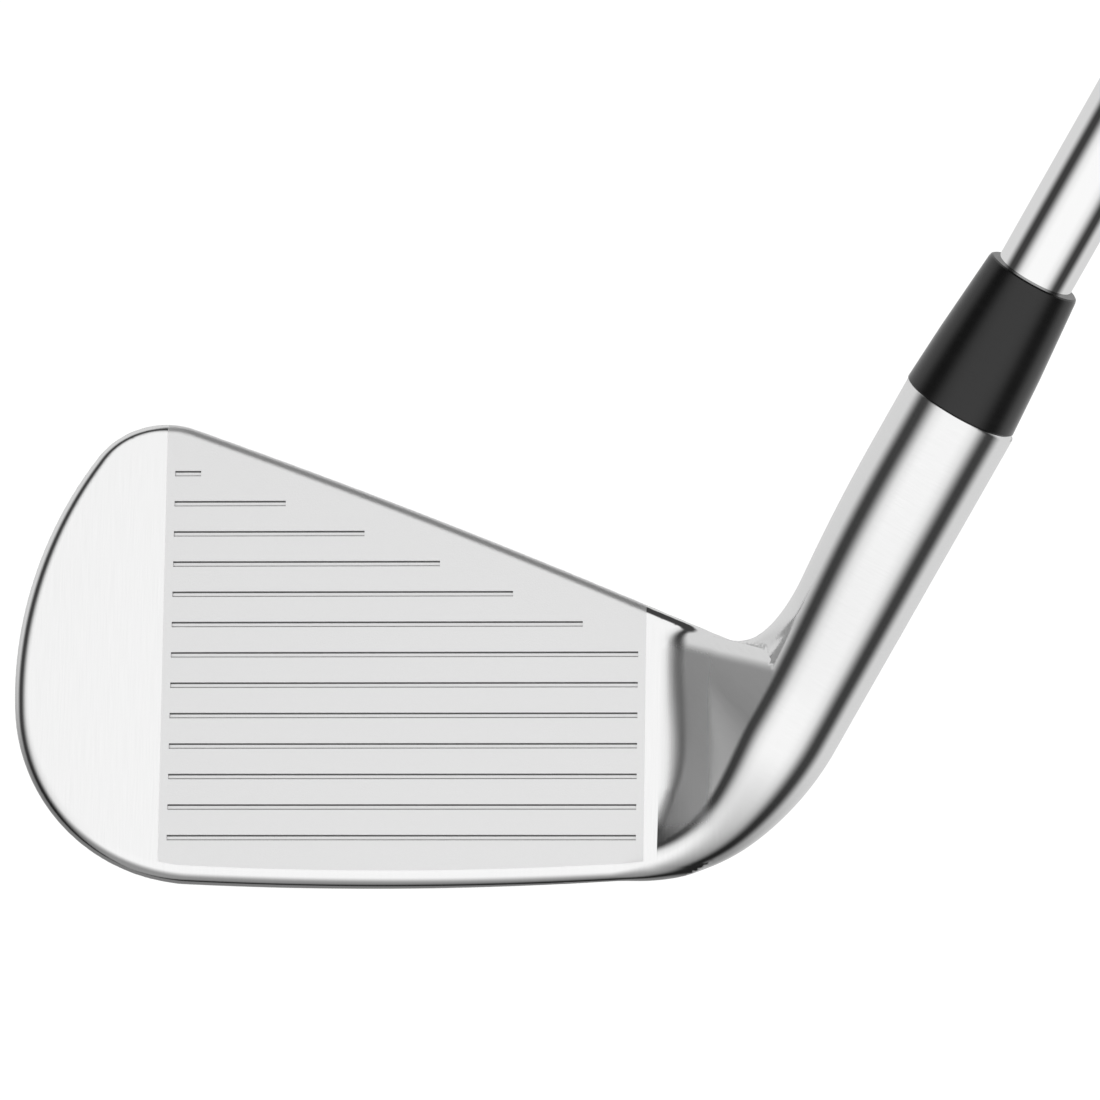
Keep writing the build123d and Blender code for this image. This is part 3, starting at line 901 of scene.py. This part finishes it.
# ---------------------------------------------------------------- Shaft
# A drawn steel tube, stepped wider every 24 mm from its tip section to its butt,
# then polished and plated with bright chrome.
SHAFT_BOTTOM, SHAFT_TOP = 31.0, 962.0
FIRST_STEP, STEP_LENGTH, STEP_COUNT = 250.0, 24.0, 15
FIRST_RADIUS, BUTT_RADIUS = 4.7, 7.6
TIP_WALL, BUTT_WALL = 0.62, 0.42
step_rise = (BUTT_RADIUS - FIRST_RADIUS) / STEP_COUNT
shaft_profile = [
    (SHAFT_BOTTOM, SHAFT_TIP_RADIUS), (FERRULE_TOP, SHAFT_TIP_RADIUS), (FIRST_STEP, FIRST_RADIUS),
]
for index in range(STEP_COUNT):
    station = FIRST_STEP + (index + 1) * STEP_LENGTH
    radius = FIRST_RADIUS + index * step_rise
    shaft_profile.append((station, radius))
    shaft_profile.append((station + 3 * step_rise, radius + step_rise))
shaft_profile.append((SHAFT_TOP, BUTT_RADIUS))
shaft_profile += [
    (SHAFT_TOP, BUTT_RADIUS - BUTT_WALL), (FIRST_STEP + STEP_COUNT * STEP_LENGTH, BUTT_RADIUS - BUTT_WALL),
    (FIRST_STEP, FIRST_RADIUS - TIP_WALL), (SHAFT_BOTTOM, SHAFT_TIP_RADIUS - TIP_WALL),
]
shaft = walled(*turned_mesh(shaft_profile, 160))
shaft.name = "stepped_shaft"
shaft.data.shade_smooth()
shaft.data.set_sharp_from_angle(angle=math.radians(8))
chrome = Coat("shaft_chrome", metallic=1.0, base_color=(0.95, 0.95, 0.95, 1))
s, heel, behind = chrome.shaft_place()
draw = chrome.noise(chrome.join(s * 0.02, heel * 2.0, behind * 2.0), 1.0, 3.0)
chrome.set("Roughness", 0.015 + 0.04 * draw)
chrome.set("Normal", chrome.relief(draw, 0.000002))
chrome.wear(shaft)
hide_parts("shaft")
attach(shaft, "root")

# ---------------------------------------------------------------- Shaft band
# A thin printed film rolled on the shaft below the grip. It is left plain but
# for two fine silver rings.
BAND_START, BAND_END = 640.0, 678.0
RING_INSET, RING_WIDTH, RING_EDGE = 3.0, 0.8, 0.05
FILM_DARK, FILM_PALE = (0.02, 0.022, 0.03, 1), (0.03, 0.032, 0.04, 1)
RING_SILVER = (0.6, 0.6, 0.62, 1)
film = Coat("band_film", roughness=0.3)
s, heel, behind = film.shaft_place()
ring = 0.0
for station in (BAND_START + RING_INSET, BAND_END - RING_INSET - RING_WIDTH):
    ring_top = station + RING_WIDTH
    past_ring = film.step(s, ring_top, ring_top + RING_EDGE)
    ring = film.step(s, station, station + RING_EDGE) * (1 - past_ring) + ring
weave = film.noise(film.join(s, heel * 2.0, behind * 2.0), 2.0)
film.set("Base Color", film.tint(ring, film.tint(weave, FILM_DARK, FILM_PALE), RING_SILVER))
film.set("Metallic", ring * 0.9)
film.set("Roughness", 0.25 + 0.1 * weave)
film.wear(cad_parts["shaft_band"])

# ---------------------------------------------------------------- Grip tape
# Crepe paper tape, sticky on both sides, wound on the butt under the grip.
crepe = Coat("grip_tape", roughness=0.8)
s, heel, behind = crepe.shaft_place()
crease = crepe.noise(crepe.join(s * 2.5, heel * 0.4, behind * 0.4), 1.0, 3.0)
crepe.set("Base Color", crepe.tint(crease, (0.6, 0.52, 0.36, 1), (0.72, 0.64, 0.46, 1)))
crepe.set("Normal", crepe.relief(crease, 0.0001))
crepe.wear(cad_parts["grip_tape"])

# ---------------------------------------------------------------- Grip
# A sleeve of black rubber, moulded in one piece. Rows of small pips, set like
# bricks, run round it between a plain lip at the mouth and a plain band at the butt.
GRIP_START, GRIP_END = 695.0, 962.0
GRIP_MOUTH_RADIUS, GRIP_BUTT_RADIUS = 9.4, 12.4
GRIP_CORE_RADIUS = BUTT_RADIUS + 0.25
TAPE_START = 700.0
PIP_HEIGHT = 0.28
PIP_ROWS, PIPS_AROUND = 74, 20
PIP_FIRST, PIP_PITCH = 706.0, 3.3
grip_profile = [
    (TAPE_START, GRIP_CORE_RADIUS), (TAPE_START, BUTT_RADIUS), (GRIP_START, BUTT_RADIUS),
    (GRIP_START, 8.7), (GRIP_START + 0.3, 9.2), (GRIP_START + 1.0, 9.55), (GRIP_START + 2.0, 9.65),
    (GRIP_START + 4.2, 9.65), (GRIP_START + 4.8, 9.4), (GRIP_START + 5.4, GRIP_MOUTH_RADIUS + 0.05),
    (GRIP_END - 8.0, GRIP_BUTT_RADIUS - 0.08), (GRIP_END - 7.4, GRIP_BUTT_RADIUS - 0.05),
    (GRIP_END - 6.8, 12.65), (GRIP_END - 0.6, 12.68), (GRIP_END, 12.5), (GRIP_END, GRIP_CORE_RADIUS),
]


def pip_rows(base):
    """The sleeve with its pips, set out row by row round the shaft line by nodes."""
    tree = bpy.data.node_groups.new("pip_rows", "GeometryNodeTree")
    tree.interface.new_socket("Geometry", in_out="INPUT", socket_type="NodeSocketGeometry")
    named = {}
    for name, kind in (("Rows", "Int"), ("Pips around", "Int"), ("First row", "Float"),
                       ("Row pitch", "Float"), ("Low radius", "Float"),
                       ("High radius", "Float"), ("Material", "Material")):
        named[name] = tree.interface.new_socket(name, in_out="INPUT", socket_type="NodeSocket" + kind)
    tree.interface.new_socket("Geometry", in_out="OUTPUT", socket_type="NodeSocketGeometry")
    rows = Finish(tree)
    entry = tree.nodes.new("NodeGroupInput")
    given = {socket.name: Reading(rows, socket) for socket in entry.outputs}
    count = given["Rows"] * given["Pips around"]
    points = rows.node("GeometryNodeMeshLine", {}, {"Count": count})
    index = rows.node("GeometryNodeInputIndex")
    row = rows.node("ShaderNodeMath", {"operation": "FLOOR"}, {0: index / given["Pips around"]})
    column = index - row * given["Pips around"]
    stagger = rows.node("ShaderNodeMath", {"operation": "MODULO"}, {0: row, 1: 2.0}) * 0.5
    turn = (column + stagger) * 2 * math.pi / given["Pips around"]
    station = given["First row"] + row * given["Row pitch"]
    part = row / given["Rows"]
    radius = rows.blend(part, given["Low radius"], given["High radius"])
    cosine = rows.node("ShaderNodeMath", {"operation": "COSINE"}, {0: turn})
    sine = rows.node("ShaderNodeMath", {"operation": "SINE"}, {0: turn})
    spread = rows.join(radius * cosine, radius * sine, station)
    facing = rows.node("FunctionNodeAxesToRotation", {"primary_axis": "X", "secondary_axis": "Z"}, {
        0: rows.join(cosine, sine, 0.0), 1: (0.0, 0.0, 1.0)})
    placed = rows.node("GeometryNodeSetPosition", {}, {"Geometry": points, "Position": spread})
    dome = rows.node("GeometryNodeMeshUVSphere", {}, {"Segments": 8, "Rings": 5, "Radius": 0.5})
    pips = rows.node("GeometryNodeInstanceOnPoints", {}, {
        "Points": placed, "Instance": dome, "Rotation": facing,
        "Scale": rows.join(PIP_HEIGHT * 2.0, radius * (2 * math.pi * 0.72 / PIPS_AROUND), PIP_PITCH * 0.66)})
    solid = rows.node("GeometryNodeRealizeInstances", {}, {"Geometry": pips})
    upright = rows.node("GeometryNodeTransform", {}, {"Geometry": solid, "Scale": (MM, MM, MM)})
    shaft_turn = Matrix((HEEL_DIR, np.cross(SHAFT_DIR, HEEL_DIR), SHAFT_DIR)).transposed().to_euler()
    leaning = rows.node("GeometryNodeTransform", {}, {
        "Geometry": upright, "Translation": tuple(SHAFT_ORIGIN * MM), "Rotation": tuple(shaft_turn)})
    both = tree.nodes.new("GeometryNodeJoinGeometry")
    tree.links.new(given["Geometry"].socket, both.inputs[0])
    tree.links.new(leaning.socket, both.inputs[0])
    shaded = rows.node("GeometryNodeSetShadeSmooth", {}, {"Geometry": Reading(rows, both.outputs[0])})
    whole = rows.node("GeometryNodeRealizeInstances", {}, {"Geometry": shaded})
    finished = rows.node("GeometryNodeSetMaterial", {}, {"Geometry": whole, "Material": given["Material"]})
    leave = tree.nodes.new("NodeGroupOutput")
    rows.feed(leave.inputs[0], finished)
    made = base.modifiers.new("pips", "NODES")
    made.node_group = tree
    sizes = {"Rows": PIP_ROWS, "Pips around": PIPS_AROUND, "First row": PIP_FIRST, "Row pitch": PIP_PITCH,
             "Low radius": GRIP_MOUTH_RADIUS + 0.02, "High radius": GRIP_BUTT_RADIUS - 0.12}
    for name, size in sizes.items():
        made[named[name].identifier] = size
    made[named["Material"].identifier] = rubber.material
    base.data = bpy.data.meshes.new_from_object(base.evaluated_get(bpy.context.evaluated_depsgraph_get()))
    base.modifiers.remove(made)


rubber = Coat("grip_rubber", roughness=0.62)
mould = rubber.noise(rubber.place, 4.0, 3.0, 0.6)
rubber.set("Base Color", rubber.tint(mould, (0.012, 0.012, 0.012, 1), (0.022, 0.022, 0.022, 1)))
rubber.set("Roughness", 0.52 + 0.2 * mould)
rubber.set("Normal", rubber.relief(mould, 0.00004))
grip = walled(*turned_mesh(grip_profile, 96))
grip.name = "moulded_grip"
pip_rows(grip)
grip.data.set_sharp_from_angle(angle=math.radians(50))
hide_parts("grip")
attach(grip, "root")

# ---------------------------------------------------------------- Grip cap
# A harder rubber moulding closes the butt, with a small vent hole in its middle
# that lets air and solvent out when the grip is slid on.
cap_rubber = Coat("cap_rubber", roughness=0.5)
skin = cap_rubber.noise(cap_rubber.place, 5.0, 3.0)
cap_rubber.set("Base Color", cap_rubber.tint(skin, (0.014, 0.014, 0.014, 1), (0.024, 0.024, 0.024, 1)))
cap_rubber.set("Normal", cap_rubber.relief(skin, 0.00003))
cap_rubber.wear(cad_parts["grip_cap"])

# ---------------------------------------------------------------- Studio
# A camera square to the face and a little above it, with a long lens. The club
# stands over a pale table in plain soft light from screens and cloths.
target = Vector((20.65, 1.0, 38.27)) * MM
azimuth = math.radians(4.229)
elevation = math.radians(12.765)
roll = math.radians(-1.058)
distance = 1.10994
level_reach = math.cos(elevation)
back = Vector((math.sin(azimuth) * level_reach, -math.cos(azimuth) * level_reach, math.sin(elevation)))
right = Vector((math.cos(azimuth), math.sin(azimuth), 0.0))
up = back.cross(right)
turned_right = right * math.cos(roll) + up * math.sin(roll)
turned_up = -right * math.sin(roll) + up * math.cos(roll)
camera_data = bpy.data.cameras.new("camera")
camera_data.lens = 320.95
camera_data.sensor_width = 36.0
camera_data.clip_end = 20.0
camera = bpy.data.objects.new("camera", camera_data)
bpy.context.scene.collection.objects.link(camera)
rotation = Matrix((turned_right, turned_up, back)).transposed()
camera.matrix_world = Matrix.Translation(target + back * distance) @ rotation.to_4x4()
bpy.context.scene.camera = camera

# Plain soft studio, the same on both sides: a white screen in front, pale walls, a
# black flag on either hand, a dark ceiling cloth, and light that falls off downwards.
SCREEN_LIGHT = 1.0
WALL_LIGHT = 0.7
FLAG_LIGHT = 0.05
CEILING_LIGHT = 0.05
LOW_LIGHT = 0.3
SCREEN_EDGE = (math.radians(20.0), math.radians(60.0))
FLAG_FRONT = (math.radians(40.0), math.radians(70.0))
FLAG_BACK = (math.radians(80.0), math.radians(110.0))
CEILING_EDGE = (0.7, 0.85)
LOW_EDGE = (0.2, 0.8)

world = bpy.data.worlds.new("studio")
bpy.context.scene.world = world
world.use_nodes = True
air = Finish(world.node_tree)
looking = air.node("ShaderNodeTexCoord")
aside = air.node("ShaderNodeMath", {"operation": "ABSOLUTE"}, {0: air.along(looking, HEEL_DIR)})
ahead = air.along(looking, (0, -1, 0))
above = air.along(looking, SHAFT_DIR)
turn = air.node("ShaderNodeMath", {"operation": "ARCTAN2"}, {0: aside, 1: ahead})
light = air.blend(air.step(turn, *SCREEN_EDGE), SCREEN_LIGHT, WALL_LIGHT)
flag = air.step(turn, *FLAG_FRONT) * (1 - air.step(turn, *FLAG_BACK))
light = air.blend(flag, light, FLAG_LIGHT)
light = light * air.blend(air.step(-1 * above, *LOW_EDGE), 1.0, LOW_LIGHT)
light = air.blend(air.step(above, *CEILING_EDGE), light, CEILING_LIGHT)
seen = air.node("ShaderNodeLightPath")
shown = air.blend(seen, light, 1.0)
background = world.node_tree.nodes["Background"]
air.feed(background.inputs["Color"], air.join(shown, shown, shown))

# The floor is a pale light table, so that the club hardly shadows it
FLOOR_REACH = 4.0
FLOOR_LEVEL = -0.0003
FLOOR_GLOW = 0.98
floor_mesh = bpy.data.meshes.new("floor")
corners = [(-FLOOR_REACH, -FLOOR_REACH), (FLOOR_REACH, -FLOOR_REACH),
           (FLOOR_REACH, FLOOR_REACH), (-FLOOR_REACH, FLOOR_REACH)]
floor_mesh.from_pydata([(x, y, FLOOR_LEVEL) for x, y in corners], [], [(0, 1, 2, 3)])
floor = bpy.data.objects.new("floor", floor_mesh)
bpy.context.scene.collection.objects.link(floor)
table = Coat("light_table", base_color=(0.16, 0.16, 0.16, 1), roughness=0.9, emission_color=(1, 1, 1, 1),
             emission_strength=FLOOR_GLOW)
table.wear(floor)
floor.visible_glossy = False
bpy.context.scene.view_settings.view_transform = "Standard"
